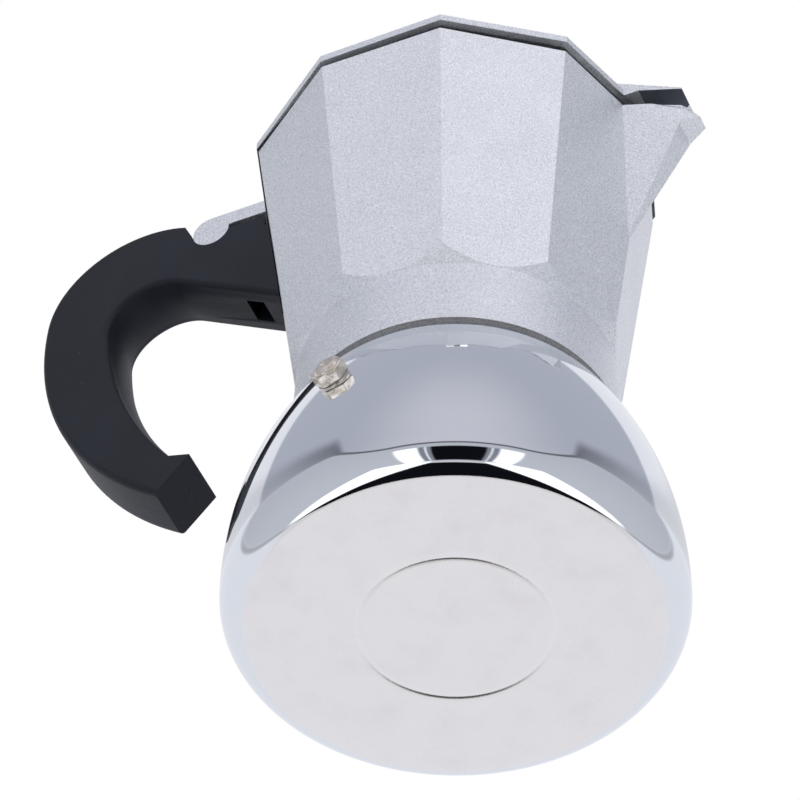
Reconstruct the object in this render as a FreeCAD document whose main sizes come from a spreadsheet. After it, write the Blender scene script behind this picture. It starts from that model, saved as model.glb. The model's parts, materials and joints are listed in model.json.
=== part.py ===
import FreeCAD, Part
import math
import os
import re
import Sketcher

# Moka pot, in millimetres. The origin is the middle of the boiler's underside, +Z points up,
# +X points to the spout and -X to the handle.

doc = FreeCAD.newDocument("MokaPot")
sheet = doc.addObject("Spreadsheet::Sheet", "Sizes")

SIZES = {
    # general fits
    "running_gap": 0.05,
    "loose_gap": 0.3,
    # boiler shell: a drawn bell with a flat bottom
    "boiler_radius": 52.5,
    "boiler_height": 58.8,
    "boiler_straight_top": 9.0,
    "base_edge_radius": 5.5,
    "base_thickness": 2.0,
    "stamp_radius": 22.0,
    "stamp_groove": 0.4,
    "mouth_step": 3.601,
    "shell_wall": 1.2,
    # neck ring welded in the boiler's mouth
    "neck_radius": 34.8,
    "neck_wall": 3.2,
    "neck_length": 11.2,
    "neck_band_width": 2.6,
    "neck_band_length": 1.5,
    "neck_spigot_depth": 3.0,
    # funnel
    "sheet_wall": 0.8,
    "basket_clearance": 4.4,
    "basket_depth": 25.0,
    "cone_depth": 10.0,
    "funnel_tube_radius": 4.5,
    "funnel_tube_clearance": 4.0,
    "funnel_ledge": 2.0,
    "flange_inset": 1.4,
    # seal and filter
    "gasket_thickness": 2.5,
    "gasket_overlap": 0.3,
    "plate_thickness": 0.5,
    "filter_hole_radius": 0.8,
    "gasket_lip": 2.0,
    # upper chamber: a ten-sided flared casting on a round skirt
    "facet_height": 67.6,
    "rim_radius": 50.15,
    "facet_base_rise": 4.4,
    "facet_base_step": 2.7,
    "skirt_length": 19.3,
    "skirt_top_wall": 2.9,
    "skirt_gap": 0.3,
    "skirt_bottom_wall": 3.57,
    "cast_wall": 2.6,
    "floor_rise": 0.3,
    # coffee column
    "column_drop": 13.9,
    "column_foot_radius": 7.5,
    "column_tip_radius": 5.0,
    "column_bore": 3.2,
    "column_slot_width": 3.0,
    "column_slot_depth": 6.0,
    # spout: two leaning sides that meet in a narrow keel
    "spout_foot_drop": 38.4,
    "spout_foot_nose": 4.1,
    "spout_bend_drop": 7.0,
    "spout_bend_nose": 9.65,
    "spout_tip_drop": 4.9,
    "spout_tip_nose": 14.45,
    "spout_tip_half_width": 2.0,
    "spout_top_nose": 11.15,
    "spout_top_half_width": 3.7,
    "spout_root_inset": 2.15,
    "spout_root_half_width": 8.6,
    "spout_inner_inset": 0.1,
    "spout_nose_depth": 2.0,
    "spout_lip_nose": 3.85,
    "spout_splay": 0.2755,
    "spout_lean": 0.2354,
    "spout_wall": 1.5,
    "channel_inner_inset": 4.1,
    "channel_foot_half_width": 0.3,
    "channel_tip_half_width": 0.6,
    # lid
    "lid_gap": 0.2,
    "lid_overhang": 0.65,
    "lid_edge": 2.1,
    "lid_wall": 1.8,
    "lid_rise": 9.0,
    "lid_boss_radius": 8.5,
    "lid_boss_height": 2.0,
    "lid_boss_step": 0.6,
    "lid_nose_length": 10.2,
    "lid_nose_half_width": 4.2,
    "lid_nose_rise": 2.8,
    "lid_nose_run": 15.6,
    "lid_nose_root_half_width": 10.1,
    "lid_ajar": 1.5,
    # hinge
    "hinge_arm": 13.85,
    "hinge_rise": 4.4,
    "knuckle_radius": 4.9,
    "knuckle_half_width": 7.5,
    "tongue_half_width": 3.0,
    "tongue_end_radius": 4.0,
    "tongue_depth": 5.2,
    "hinge_pin_radius": 1.5,
    "fork_depth": 8.5,
    "bar_clearance": 1.7,
    "bar_face_inset": 2.8,
    "bar_sink": 0.3,
    "bar_brow": 9.0,
    "bar_slope_start": 17.0,
    "bar_slope_rise": 3.5,
    "pin_hole_stop": 1.5,
    # knob
    "knob_radius": 9.5,
    "knob_height": 18.0,
    "knob_foot_radius": 5.5,
    "knob_waist_arc": 20.9,
    "knob_belly_height": 11.16,
    "knob_belly_arc": 5.89,
    "knob_cap_radius": 5.7,
    "knob_cap_arc": 15.2,
    "knob_socket_depth": 10.8,
    "knob_screw_radius": 2.0,
    "knob_screw_head": 3.5,
    "knob_screw_head_length": 2.1,
    "knob_screw_chamfer": 1.05,
    "knob_screw_length": 9.0,
    "washer_radius": 5.0,
    "washer_thickness": 0.8,
    # handle: an open hook of constant width
    "handle_half_width": 7.7,
    "handle_step_rise": 3.2,
    "handle_crown_set": 17.4,
    "handle_crown_drop": 15.6,
    "handle_crown_arc": 27.4,
    "handle_crown_start": 69.5,
    "handle_back_start": 174.8,
    "handle_back_arc": 80.4,
    "handle_back_finish": 235.6,
    "handle_toe_set": 1.5,
    "handle_toe_drop": 76.7,
    "handle_crook_set": 14.3,
    "handle_crook_drop": 22.3,
    "handle_crook_arc": 12.6,
    "handle_inner_start": 184.0,
    "handle_inner_arc": 93.1,
    "handle_inner_finish": 219.0,
    "handle_arm_angle": 58.9,
    "handle_edge_round": 1.6,
    "handle_root_inset": 1.0,
    "window_half_width": 3.5,
    "window_inset": 0.15,
    "window_length": 4.9,
    "window_drop": 10.4,
    "handle_screw_radius": 1.3,
    "handle_screw_head": 2.25,
    "handle_screw_head_length": 2.2,
    "handle_screw_grip": 3.8,
    # safety valve; its own axis leans a little above the level
    "valve_angle": -101.5,
    "valve_height": 38.3,
    "valve_tilt": 12.0,
    "valve_stand_off": 0.6,
    "bush_radius": 3.9,
    "bush_length": 3.4,
    "valve_washer_thickness": 0.3,
    "valve_hex_width": 7.4,
    "valve_hex_length": 2.7,
    "valve_dome_length": 0.8,
    "valve_dome_radius": 2.9,
    "valve_dome_slope": 0.6,
    "valve_stem_show": 0.6,
    "valve_thread_radius": 2.8,
    "valve_shank_length": 6.5,
    "valve_bore": 1.9,
    "valve_stem_radius": 0.7,
    "valve_head_radius": 1.5,
    "valve_head_length": 1.1,
    "retainer_length": 1.0,
    "spring_wire_radius": 0.25,
    "spring_turns": 7.0,
    "valve_lift": 1.0,
}

# sizes that follow from others, so that the pieces stay together when one changes
TIES = {
    "neck_bore": "neck_radius - neck_wall",
    "neck_band_radius": "neck_radius + neck_band_width",
    "mouth_radius": "neck_radius + mouth_step",
    "basket_radius": "neck_bore - basket_clearance",
    "flange_radius": "neck_radius - flange_inset",
    "gasket_bore": "basket_radius + gasket_overlap",
    "skirt_bottom": "boiler_height + neck_band_length + skirt_gap",
    "skirt_top": "skirt_bottom + skirt_length",
    "skirt_bottom_radius": "neck_radius + skirt_bottom_wall",
    "skirt_top_radius": "neck_radius + skirt_top_wall",
    "facet_base_height": "skirt_top + facet_base_rise",
    "facet_base_radius": "skirt_top_radius + facet_base_step",
    "rim_height": "facet_base_height + facet_height",
    "chamber_floor": "facet_base_height + floor_rise",
    "column_top": "rim_height - column_drop",
    "spout_foot_height": "rim_height - spout_foot_drop",
    "spout_foot_reach": "facet_base_radius + spout_foot_nose",
    "spout_bend_height": "rim_height - spout_bend_drop",
    "spout_bend_reach": "rim_radius + spout_bend_nose",
    "spout_tip_height": "rim_height - spout_tip_drop",
    "spout_tip_reach": "rim_radius + spout_tip_nose",
    "spout_top_reach": "rim_radius + spout_top_nose",
    "spout_root_reach": "rim_radius - spout_root_inset",
    "spout_lip_reach": "rim_radius + spout_lip_nose",
    "spout_inner_reach": "facet_base_radius - spout_inner_inset",
    "channel_inner_reach": "facet_base_radius - channel_inner_inset",
    "lid_radius": "rim_radius + lid_overhang",
    "lid_nose_reach": "lid_radius + lid_nose_length",
    "hinge_reach": "rim_radius + hinge_arm",
    "hinge_height": "rim_height + hinge_rise",
    "tongue_foot": "rim_height - tongue_depth",
    "handle_step": "rim_height + handle_step_rise",
    "handle_crown_reach": "hinge_reach + handle_crown_set",
    "handle_crown_height": "rim_height - handle_crown_drop",
    "handle_crook_reach": "hinge_reach + handle_crook_set",
    "handle_crook_height": "rim_height - handle_crook_drop",
    "handle_toe_reach": "hinge_reach + handle_toe_set",
    "handle_toe_height": "rim_height - handle_toe_drop",
    "handle_root_reach": "facet_base_radius - handle_root_inset",
    "window_near": "rim_radius - window_inset",
    "window_far": "window_near + window_length",
    "window_roof": "rim_height - window_drop",
    "mouth_inset": "boiler_radius - mouth_radius",
    "bell_height": "boiler_height - boiler_straight_top",
    "wall_arc_radius": "( bell_height ^ 2 + mouth_inset ^ 2 ) / ( 2 * mouth_inset )",
}

for row, (alias, number) in enumerate(SIZES.items(), start=1):
    sheet.set("A" + str(row), alias)
    sheet.set("B" + str(row), repr(number))
    sheet.setAlias("B" + str(row), alias)
doc.recompute()


def bound(formula):
    """A formula in the sheet's words, written as FreeCAD reads it."""
    def spell(found):
        word = found.group()
        return f"( {bound(TIES[word])} )" if word in TIES else "Sizes." + word
    return re.sub(r"[a-z]+(_[a-z]+)+", spell, formula)


def number(formula):
    """The value of a formula now."""
    return float(sheet.evalExpression(bound(formula)))


def new_body(label):
    body = doc.addObject("PartDesign::Body", label)
    body.Label = label
    return body


def new_sketch(body, plane, height="0"):
    """A sketch on one of the body's origin planes, moved along the plane's normal."""
    sketch = body.newObject("Sketcher::SketchObject", body.Label + "_sketch")
    planes = [item for item in body.Origin.OriginFeatures if item.Role == plane]
    sketch.AttachmentSupport = [(planes[0], "")]
    sketch.MapMode = "FlatFace"
    sketch.setExpression("AttachmentOffset.Base.z", bound(height))
    return sketch


def name_datum(sketch, kind, geometry, point, formula):
    """One dimension of a sketch, bound to the sheet."""
    place = [geometry] if point is None else [geometry, point]
    index = sketch.addConstraint(Sketcher.Constraint(kind, *place, number(formula)))
    name = kind + "_" + str(index)
    sketch.renameConstraint(index, name)
    sketch.setExpression("Constraints." + name, bound(formula))


def arc_between(start, end, radius, turn):
    """The shorter arc from start to end. turn is 1 for anticlockwise and -1 for clockwise."""
    half = (end - start) / 2
    rise = math.sqrt(max(radius ** 2 - half.Length ** 2, 0))
    left = FreeCAD.Vector(-half.y, half.x, 0).normalize()
    centre = start + half + left * rise * turn
    first, last = (start, end) if turn > 0 else (end, start)
    angles = [math.atan2(spot.y - centre.y, spot.x - centre.x) for spot in (first, last)]
    circle = Part.Circle(centre, FreeCAD.Vector(0, 0, 1), radius)
    return Part.ArcOfCircle(circle, *angles)


def draw_outline(sketch, corners):
    """A closed outline. A corner is (x, y), or (x, y, radius, turn) where an arc leaves it."""
    spots = [FreeCAD.Vector(number(corner[0]), number(corner[1]), 0) for corner in corners]
    ends = []
    edges = []
    for corner, start, end in zip(corners, spots, spots[1:] + spots[:1]):
        if len(corner) == 2:
            edge = Part.LineSegment(start, end)
            sides = (1, 2)
        else:
            edge = arc_between(start, end, number(corner[2]), corner[3])
            sides = (1, 2) if corner[3] > 0 else (2, 1)
        edges.append(sketch.addGeometry(edge, False))
        ends.append(sides)
    for index, corner in enumerate(corners):
        after = (index + 1) % len(corners)
        joined = Sketcher.Constraint(
            "Coincident", edges[index], ends[index][1], edges[after], ends[after][0])
        sketch.addConstraint(joined)
        name_datum(sketch, "DistanceX", edges[index], ends[index][0], corner[0])
        name_datum(sketch, "DistanceY", edges[index], ends[index][0], corner[1])
        if len(corner) > 2:
            name_datum(sketch, "Radius", edges[index], None, corner[2])


def draw_circle(sketch, across, up, radius):
    centre = FreeCAD.Vector(number(across), number(up), 0)
    circle = Part.Circle(centre, FreeCAD.Vector(0, 0, 1), number(radius))
    index = sketch.addGeometry(circle, False)
    name_datum(sketch, "DistanceX", index, 3, across)
    name_datum(sketch, "DistanceY", index, 3, up)
    name_datum(sketch, "Radius", index, None, radius)


def polygon_corners(radius, sides):
    """A regular polygon with one corner on +X."""
    step = 360 / sides
    return [
        (f"( {radius} ) * cos({step * index})", f"( {radius} ) * sin({step * index})")
        for index in range(sides)]


def polar(centre, radius, angle):
    """The point of a circle at an angle."""
    across, up = centre
    return (f"{across} + ( {radius} ) * cos({angle})", f"{up} + ( {radius} ) * sin({angle})")


def turned(body, kind, corners):
    """A full turn of an X-Z outline about the body's Z axis."""
    sketch = new_sketch(body, "XZ_Plane")
    draw_outline(sketch, corners)
    feature = body.newObject(kind, body.Label + "_turn")
    feature.Profile = sketch
    feature.ReferenceAxis = (sketch, ["V_Axis"])
    feature.Angle = 360
    doc.recompute()
    return feature


def lofted(body, kind, sections):
    """Flat-sided loft through (height, corners) sections."""
    sketches = []
    for height, corners in sections:
        sketch = new_sketch(body, "XY_Plane", height)
        draw_outline(sketch, corners)
        sketches.append(sketch)
    doc.recompute()
    feature = body.newObject(kind, body.Label + "_loft")
    feature.Profile = sketches[0]
    feature.Sections = sketches[1:]
    feature.Ruled = True
    doc.recompute()
    return feature


def extruded(body, kind, sketch, length, symmetric=False, reverse=False):
    """A pad or a pocket of a finished sketch."""
    feature = body.newObject(kind, body.Label + "_block")
    feature.Profile = sketch
    feature.setExpression("Length", bound(length))
    feature.SideType = "Symmetric" if symmetric else "One side"
    feature.Reversed = reverse
    doc.recompute()
    return feature


def plate(body, kind, corners, half_width):
    """An X-Z outline, as thick as twice half_width about the middle plane."""
    sketch = new_sketch(body, "XZ_Plane")
    draw_outline(sketch, corners)
    return extruded(body, kind, sketch, f"2 * ( {half_width} )", symmetric=True)


# heights and radii that several pieces share, as formulas of the sheet
NECK_FOOT = "boiler_height + neck_band_length"
NECK_TOP = f"{NECK_FOOT} + neck_length"
GASKET_FOOT = f"{NECK_TOP} + sheet_wall"
PLATE_FOOT = f"{GASKET_FOOT} + gasket_thickness"
SHOULDER = f"{PLATE_FOOT} + plate_thickness"
SOCKET = "neck_radius + running_gap"
ARC_CENTRE = "boiler_radius - wall_arc_radius"
FLARE = "( rim_radius - facet_base_radius ) / ( rim_height - facet_base_height )"
LID_FOOT = "rim_height + lid_gap"
LID_EDGE_TOP = f"{LID_FOOT} + lid_edge"
LID_ROOF = f"{LID_EDGE_TOP} + lid_rise"
BOSS_TOP = f"{LID_ROOF} + lid_boss_height"
SCREW_REACH = "-( window_near + window_far ) / 2"
PIN_STOP = "knuckle_half_width - pin_hole_stop"
CORNER = "cos(18)"
CASTING_SIDES = 10
HEXAGON_SIDES = 6


def casting_radius(height):
    """Corner radius of the chamber's ten sides at a height."""
    return f"facet_base_radius + {FLARE} * ( {height} - facet_base_height )"


def bell_radius(height, wall):
    """Radius of the boiler's bell at a height, with the wall's thickness taken off."""
    lift = f"( {height} - boiler_straight_top )"
    return f"{ARC_CENTRE} + sqrt(( wall_arc_radius - ( {wall} ) ) ^ 2 - {lift} ^ 2)"


def ring(inner, outer, foot, top):
    """The outline of a plain ring."""
    return [(inner, foot), (outer, foot), (outer, top), (inner, top)]


def make_boiler_shell():
    body = new_body("boiler_shell")
    mouth = bell_radius("boiler_height", "0")
    inner_mouth = bell_radius("boiler_height", "shell_wall")
    flat = "boiler_radius - base_edge_radius"
    floor = "boiler_radius - shell_wall - base_edge_radius"
    turned(body, "PartDesign::Revolution", [
        ("0", "0"),
        ("stamp_radius", "0"),
        ("stamp_radius + stamp_groove", "stamp_groove"),
        ("stamp_radius + 2 * stamp_groove", "0"),
        (flat, "0", "base_edge_radius", 1),
        ("boiler_radius", "base_edge_radius"),
        ("boiler_radius", "boiler_straight_top", "wall_arc_radius", 1),
        (mouth, "boiler_height"),
        (inner_mouth, "boiler_height", "wall_arc_radius - shell_wall", -1),
        ("boiler_radius - shell_wall", "boiler_straight_top"),
        ("boiler_radius - shell_wall", "base_thickness + base_edge_radius", "base_edge_radius", -1),
        (floor, "base_thickness"),
        ("0", "base_thickness"),
    ])
    return body


def make_neck_ring():
    body = new_body("neck_ring")
    spigot = bell_radius("boiler_height", "shell_wall + running_gap")
    turned(body, "PartDesign::Revolution", [
        ("neck_bore", "boiler_height - neck_spigot_depth"),
        (spigot, "boiler_height - neck_spigot_depth"),
        (spigot, "boiler_height"),
        ("neck_band_radius", "boiler_height"),
        ("neck_band_radius", NECK_FOOT),
        ("neck_radius", NECK_FOOT),
        ("neck_radius", NECK_TOP),
        ("neck_bore", NECK_TOP),
    ])
    return body


def make_funnel():
    body = new_body("funnel")
    floor = f"{NECK_TOP} - basket_depth"
    cone_foot = f"{floor} - cone_depth"
    tube_end = "base_thickness + funnel_tube_clearance"
    inner_basket = "basket_radius - sheet_wall"
    inner_tube = "funnel_tube_radius - sheet_wall"
    ledge = "basket_radius - funnel_ledge"
    turned(body, "PartDesign::Revolution", [
        ("funnel_tube_radius", tube_end),
        ("funnel_tube_radius", cone_foot),
        ("basket_radius", floor),
        ("basket_radius", NECK_TOP),
        ("flange_radius", NECK_TOP),
        ("flange_radius", GASKET_FOOT),
        (inner_basket, GASKET_FOOT),
        (inner_basket, f"{floor} + sheet_wall"),
        (ledge, f"{floor} + sheet_wall"),
        (inner_tube, f"{cone_foot} + sheet_wall"),
        (inner_tube, tube_end),
    ])
    return body


def make_drilled_disc(label, radius, foot, rings):
    """A thin disc with rings of small holes: (ring radius, number of holes)."""
    body = new_body(label)
    sketch = new_sketch(body, "XY_Plane", foot)
    draw_circle(sketch, "0", "0", radius)
    extruded(body, "PartDesign::Pad", sketch, "plate_thickness")
    for share, count in rings:
        holes = new_sketch(body, "XY_Plane", foot)
        draw_circle(holes, f"{share} * ( {radius} )", "0", "filter_hole_radius")
        doc.recompute()
        drill = extruded(body, "PartDesign::Pocket", holes, "2 * plate_thickness", symmetric=True)
        pattern = body.newObject("PartDesign::PolarPattern", label + "_pattern")
        pattern.Originals = [drill]
        pattern.Axis = (holes, ["N_Axis"])
        pattern.Angle = 360
        pattern.Occurrences = count
        body.Tip = pattern
        doc.recompute()
    return body


def make_gasket():
    body = new_body("gasket")
    turned(body, "PartDesign::Revolution",
           ring("gasket_bore", f"{SOCKET} - loose_gap", GASKET_FOOT, PLATE_FOOT))
    return body


def spout_half_width(reach, height):
    """Half the distance between the spout's leaning sides."""
    return (f"spout_root_half_width - spout_splay * ( {reach} - spout_root_reach )"
            f" - spout_lean * ( rim_height - ( {height} ) )")


def mirrored(points):
    """Closed plan outline from its +Y side, which runs outwards."""
    return [(x, f"-( {y} )") for x, y in points] + list(reversed(points))


def spout_section(height, lip, reach, half_width=None):
    """Plan of the spout's solid at a height: root, lip and nose."""
    root = "spout_inner_reach"
    nose = half_width or spout_half_width(reach, height)
    return (height, mirrored([
        (root, spout_half_width(root, height)),
        (lip, spout_half_width(lip, height)),
        (reach, nose)]))


def channel_section(height, reach, half_width):
    """Plan of the spout's channel at a height."""
    root = "channel_inner_reach"
    return (height, mirrored([
        (root, f"{spout_half_width(root, height)} - spout_wall"),
        (reach, half_width)]))


def make_upper_chamber():
    body = new_body("upper_chamber")
    foot = casting_radius("skirt_top")
    lofted(body, "PartDesign::AdditiveLoft", [
        ("skirt_top", polygon_corners(foot, CASTING_SIDES)),
        ("rim_height", polygon_corners("rim_radius", CASTING_SIDES))])

    # a cone trims the foot of the facets to the round skirt
    cone_top = "skirt_top + 1.5 * ( facet_base_height - skirt_top )"
    cone_radius = "skirt_top_radius + 1.5 * ( facet_base_radius - skirt_top_radius )"
    turned(body, "PartDesign::Groove", [
        ("skirt_top_radius", "skirt_top"),
        (f"{cone_radius} + cast_wall", "skirt_top"),
        (f"{cone_radius} + cast_wall", cone_top),
        (cone_radius, cone_top)])
    turned(body, "PartDesign::Revolution", [
        (SOCKET, "skirt_bottom"),
        ("skirt_bottom_radius", "skirt_bottom"),
        ("skirt_top_radius", "skirt_top"),
        ("gasket_bore + gasket_lip", "skirt_top"),
        ("gasket_bore + gasket_lip", SHOULDER),
        (SOCKET, SHOULDER)])

    lofted(body, "PartDesign::AdditiveLoft", [
        spout_section("spout_foot_height", "spout_foot_reach - spout_nose_depth", "spout_foot_reach"),
        spout_section("spout_bend_height", "spout_lip_reach", "spout_bend_reach"),
        spout_section("spout_tip_height", "spout_lip_reach", "spout_tip_reach",
                      "spout_tip_half_width"),
        spout_section("rim_height", "spout_lip_reach", "spout_top_reach",
                      "spout_top_half_width")])

    # tongue for the lid's fork; it runs back through the handle's slot
    slope_foot = f"{LID_FOOT} - 2 * lid_gap"
    eye = ("-hinge_reach", "hinge_height")
    plate(body, "PartDesign::Pad", [
        ("-( rim_radius - 1.5 * cast_wall )", "tongue_foot"),
        ("-( rim_radius - 1.5 * cast_wall )", slope_foot),
        ("-( lid_radius + 2 * loose_gap )", slope_foot),
        (*polar(eye, "tongue_end_radius", 53), "tongue_end_radius", 1),
        (*polar(eye, "tongue_end_radius", 180), "tongue_end_radius", 1),
        polar(eye, "tongue_end_radius", 307),
        ("-( window_far + handle_screw_head )", "tongue_foot"),
    ], "tongue_half_width")

    # the hollow is as deep as the floor and keeps the wall's thickness
    top = "rim_height + cast_wall"
    lofted(body, "PartDesign::SubtractiveLoft", [
        ("chamber_floor", polygon_corners(
            f"{casting_radius('chamber_floor')} - cast_wall / {CORNER}", CASTING_SIDES)),
        (top, polygon_corners(f"{casting_radius(top)} - cast_wall / {CORNER}", CASTING_SIDES))])
    lofted(body, "PartDesign::SubtractiveLoft", [
        channel_section("spout_foot_height + 3 * spout_wall", "spout_foot_reach - spout_wall",
                        "channel_foot_half_width"),
        channel_section("spout_bend_height + 0.7 * spout_wall", "spout_bend_reach - spout_wall",
                        f"{spout_half_width('spout_bend_reach', 'spout_bend_height')} - spout_wall"),
        channel_section("spout_tip_height + spout_wall", "spout_tip_reach + spout_wall",
                        "channel_tip_half_width"),
        channel_section("rim_height + cast_wall", "spout_tip_reach + spout_wall",
                        "channel_tip_half_width")])

    turned(body, "PartDesign::Revolution", [
        ("0", "chamber_floor"),
        ("column_foot_radius", "chamber_floor"),
        ("column_tip_radius", "column_top"),
        ("0", "column_top")])
    turned(body, "PartDesign::Groove", ring("0", "column_bore", SHOULDER, "column_top"))
    plate(body, "PartDesign::Pocket", [
        ("-column_foot_radius", "column_top - column_slot_depth"),
        ("column_foot_radius", "column_top - column_slot_depth"),
        ("column_foot_radius", "column_top"),
        ("-column_foot_radius", "column_top")], "column_slot_width / 2")

    pin_hole = new_sketch(body, "XZ_Plane")
    draw_circle(pin_hole, *eye, "hinge_pin_radius")
    extruded(body, "PartDesign::Pocket", pin_hole, "4 * tongue_half_width", symmetric=True)

    screw_hole = new_sketch(body, "XY_Plane", "tongue_foot")
    draw_circle(screw_hole, SCREW_REACH, "0", "handle_screw_radius")
    extruded(body, "PartDesign::Pocket", screw_hole, "handle_screw_grip", reverse=True)
    return body


def make_lid():
    body = new_body("lid")
    inner = f"lid_radius - lid_wall / {CORNER}"
    lofted(body, "PartDesign::AdditiveLoft", [
        (LID_FOOT, polygon_corners("lid_radius", CASTING_SIDES)),
        (LID_EDGE_TOP, polygon_corners("lid_radius", CASTING_SIDES)),
        (LID_ROOF, polygon_corners("lid_boss_radius", CASTING_SIDES))])

    nose = new_sketch(body, "XY_Plane", LID_FOOT)
    nose_root = "( lid_nose_reach - lid_nose_run )"
    draw_outline(nose, mirrored([
        (nose_root, "lid_nose_root_half_width"),
        ("lid_nose_reach", "lid_nose_half_width")]))
    extruded(body, "PartDesign::Pad", nose, "lid_edge + lid_nose_rise")
    slope_end = f"{LID_EDGE_TOP} + lid_nose_rise"
    plate(body, "PartDesign::Pocket", [
        ("lid_nose_reach", LID_EDGE_TOP),
        ("lid_nose_reach + lid_wall", LID_EDGE_TOP),
        ("lid_nose_reach + lid_wall", f"{slope_end} + lid_wall"),
        (nose_root, f"{slope_end} + lid_wall"),
        (nose_root, slope_end),
    ], "2 * lid_nose_root_half_width")

    boss = new_sketch(body, "XY_Plane", f"{LID_ROOF} - lid_wall")
    draw_circle(boss, "0", "0", "lid_boss_radius - lid_boss_step")
    extruded(body, "PartDesign::Pad", boss, "lid_boss_height + lid_wall")

    lofted(body, "PartDesign::SubtractiveLoft", [
        (f"{LID_FOOT} - lid_edge", polygon_corners(inner, CASTING_SIDES)),
        (f"{LID_EDGE_TOP} - lid_wall / 2", polygon_corners(inner, CASTING_SIDES)),
        (f"{LID_ROOF} - lid_wall", polygon_corners("lid_boss_radius", CASTING_SIDES))])

    # bar to the hinge, with a round knuckle, slotted into a fork
    bar_top = "hinge_height + knuckle_radius"
    bar_foot = "handle_step + bar_clearance"
    plate(body, "PartDesign::Pad", [
        ("-( lid_radius - bar_slope_start + lid_wall )", f"{LID_EDGE_TOP} + bar_slope_rise - lid_wall"),
        ("-( lid_radius - bar_face_inset )", f"{LID_EDGE_TOP} - bar_sink"),
        ("-( lid_radius - bar_face_inset )", bar_foot),
        ("-hinge_reach", bar_foot),
        ("-hinge_reach", bar_top),
        ("-( lid_radius - bar_brow )", bar_top),
        ("-( lid_radius - bar_slope_start )", f"{LID_EDGE_TOP} + bar_slope_rise"),
    ], "knuckle_half_width")
    knuckle = new_sketch(body, "XZ_Plane")
    draw_circle(knuckle, "-hinge_reach", "hinge_height", "knuckle_radius")
    extruded(body, "PartDesign::Pad", knuckle, "2 * knuckle_half_width", symmetric=True)
    fork_end = "-( hinge_reach + 2 * knuckle_radius )"
    fork_foot = "hinge_height - 2 * knuckle_radius"
    fork_top = "hinge_height + 2 * knuckle_radius"
    plate(body, "PartDesign::Pocket", [
        (fork_end, fork_foot),
        ("-( hinge_reach - fork_depth )", fork_foot),
        ("-( hinge_reach - fork_depth )", fork_top),
        (fork_end, fork_top),
    ], "tongue_half_width + loose_gap")

    # the pin's hole stops short of the near side
    pin_hole = new_sketch(body, "XZ_Plane", PIN_STOP)
    draw_circle(pin_hole, "-hinge_reach", "hinge_height", "hinge_pin_radius + running_gap")
    extruded(body, "PartDesign::Pocket", pin_hole, "2 * knuckle_half_width")

    screw_hole = new_sketch(body, "XY_Plane", f"{LID_ROOF} - 2 * lid_wall")
    draw_circle(screw_hole, "0", "0", "knob_screw_radius + loose_gap")
    extruded(body, "PartDesign::Pocket", screw_hole, "4 * lid_boss_height", reverse=True)
    return body


def make_hinge_pin():
    body = new_body("hinge_pin")
    length = f"{PIN_STOP} + knuckle_half_width - 3 * loose_gap"
    sketch = new_sketch(body, "XZ_Plane", f"{PIN_STOP} - loose_gap")
    draw_circle(sketch, "-hinge_reach", "hinge_height", "hinge_pin_radius")
    extruded(body, "PartDesign::Pad", sketch, length, reverse=True)
    return body


def make_lid_knob():
    body = new_body("lid_knob")
    top = f"{BOSS_TOP} + knob_height"
    belly = f"{BOSS_TOP} + knob_belly_height"
    hole_top = f"{BOSS_TOP} + knob_socket_depth"
    cap_foot = f"{top} - knob_cap_arc + sqrt(knob_cap_arc ^ 2 - knob_cap_radius ^ 2)"
    turned(body, "PartDesign::Revolution", [
        ("knob_screw_radius", BOSS_TOP),
        ("knob_foot_radius", BOSS_TOP, "knob_waist_arc", -1),
        ("knob_radius", belly, "knob_belly_arc", 1),
        ("knob_cap_radius", cap_foot, "knob_cap_arc", 1),
        ("0", top),
        ("0", hole_top),
        ("knob_screw_radius", hole_top)])
    return body


def make_knob_screw():
    body = new_body("knob_screw")
    seat = f"{LID_ROOF} - lid_wall - washer_thickness"
    foot = f"{seat} - knob_screw_head_length"
    turned(body, "PartDesign::Revolution", [
        ("0", foot),
        ("knob_screw_head - knob_screw_chamfer", foot),
        ("knob_screw_head", f"{foot} + knob_screw_chamfer"),
        ("knob_screw_head", seat),
        ("knob_screw_radius", seat),
        ("knob_screw_radius", f"{BOSS_TOP} + knob_screw_length"),
        ("0", f"{BOSS_TOP} + knob_screw_length")])
    return body


def make_knob_washer():
    body = new_body("knob_washer")
    seat = f"{LID_ROOF} - lid_wall"
    turned(body, "PartDesign::Revolution", ring(
        "knob_screw_radius + loose_gap", "washer_radius", f"{seat} - washer_thickness", seat))
    return body


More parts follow.
